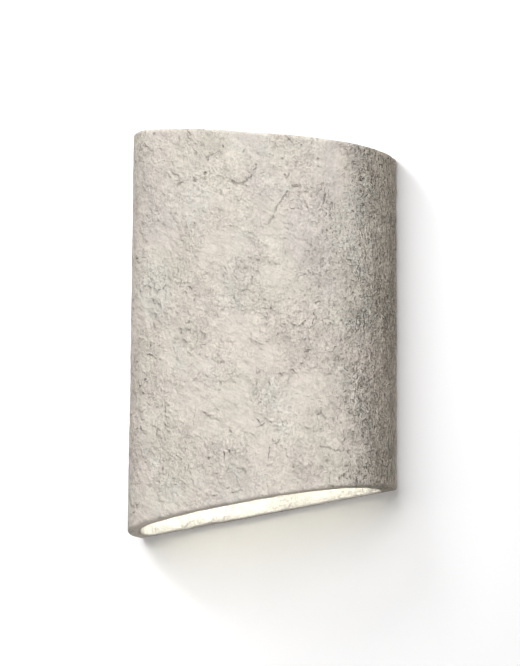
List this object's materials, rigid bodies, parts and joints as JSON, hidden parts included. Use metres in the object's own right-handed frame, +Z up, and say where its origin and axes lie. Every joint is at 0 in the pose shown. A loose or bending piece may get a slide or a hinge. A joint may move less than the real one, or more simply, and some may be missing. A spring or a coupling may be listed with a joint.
{
  "type": "wall light",
  "caption": "D-shaped paper-pulp wall light, open above and below, with sloping cuts, hung by keyholes on a steel wall strap.",
  "frame": {"origin": "centre of the wall strap's back face, on the wall", "axes": "+Z up, +X to the viewer's right, +Y into the wall; the light stands out from the wall along -Y"},
  "size_m": [0.262, 0.09, 0.3871],
  "materials": {
    "paper_pulp": "hand-worked paper pulp, dry and gritty, warm white",
    "zinc_sheet": "bright zinc plate, satin",
    "zinc_hardware": "zinc-plated steel, turned and pressed",
    "white_sheet": "white powder coat",
    "brass": "plain brass",
    "grommet_rubber": "soft black rubber",
    "holder_plastic": "glossy white thermoset",
    "porcelain": "glazed white",
    "block_plastic": "natural nylon",
    "live_insulation": "brown silicone",
    "neutral_insulation": "blue silicone",
    "earth_insulation": "green and yellow silicone",
    "woven_sleeve": "woven glass-fibre sleeving",
    "cap_metal": "nickel-plated screw cap",
    "cap_glass": "black vitrite",
    "bulb_collar": "white moulded collar",
    "opal_globe": "opal, lit warm white"
  },
  "bodies": {
    "wall_bracket": {"wall_strap": "zinc_sheet", "hang_studs": "zinc_hardware"},
    "lamp": {"shade_shell": "paper_pulp", "carrier_plate": "white_sheet", "holder_bracket": "white_sheet", "shell_inserts": "brass", "plate_washers": "zinc_hardware", "plate_screws": "zinc_hardware", "cable_grommet": "grommet_rubber", "bracket_rivets": "zinc_hardware", "threaded_nipple": "zinc_hardware", "lock_washer": "zinc_hardware", "lock_nut": "zinc_hardware", "holder_dome": "holder_plastic", "holder_sleeve": "holder_plastic", "holder_core": "porcelain", "holder_terminals": "brass", "holder_screw_shell": "brass", "holder_contact": "brass", "terminal_block": "block_plastic", "terminal_tubes": "brass", "clamp_screws": "zinc_hardware", "block_screws": "zinc_hardware", "earth_tag": "zinc_hardware", "earth_screw": "zinc_hardware", "wire_sleeve": "woven_sleeve", "live_wire": "live_insulation", "neutral_wire": "neutral_insulation", "earth_wire": "earth_insulation"},
    "bulb": {"bulb_contact": "cap_metal", "bulb_insulator": "cap_glass", "bulb_cap": "cap_metal", "bulb_collar": "bulb_collar", "bulb_globe": "opal_globe"}
  },
  "joints": [
    {"name": "lamp_lift", "type": "slide", "parent": "wall_bracket", "child": "lamp", "axis": [0, 0, 1], "range_m": [0, 0.01]},
    {"name": "bulb_unscrew", "type": "slide", "parent": "lamp", "child": "bulb", "axis": [0, 0, 1], "range_m": [0, 0.026]}
  ]
}
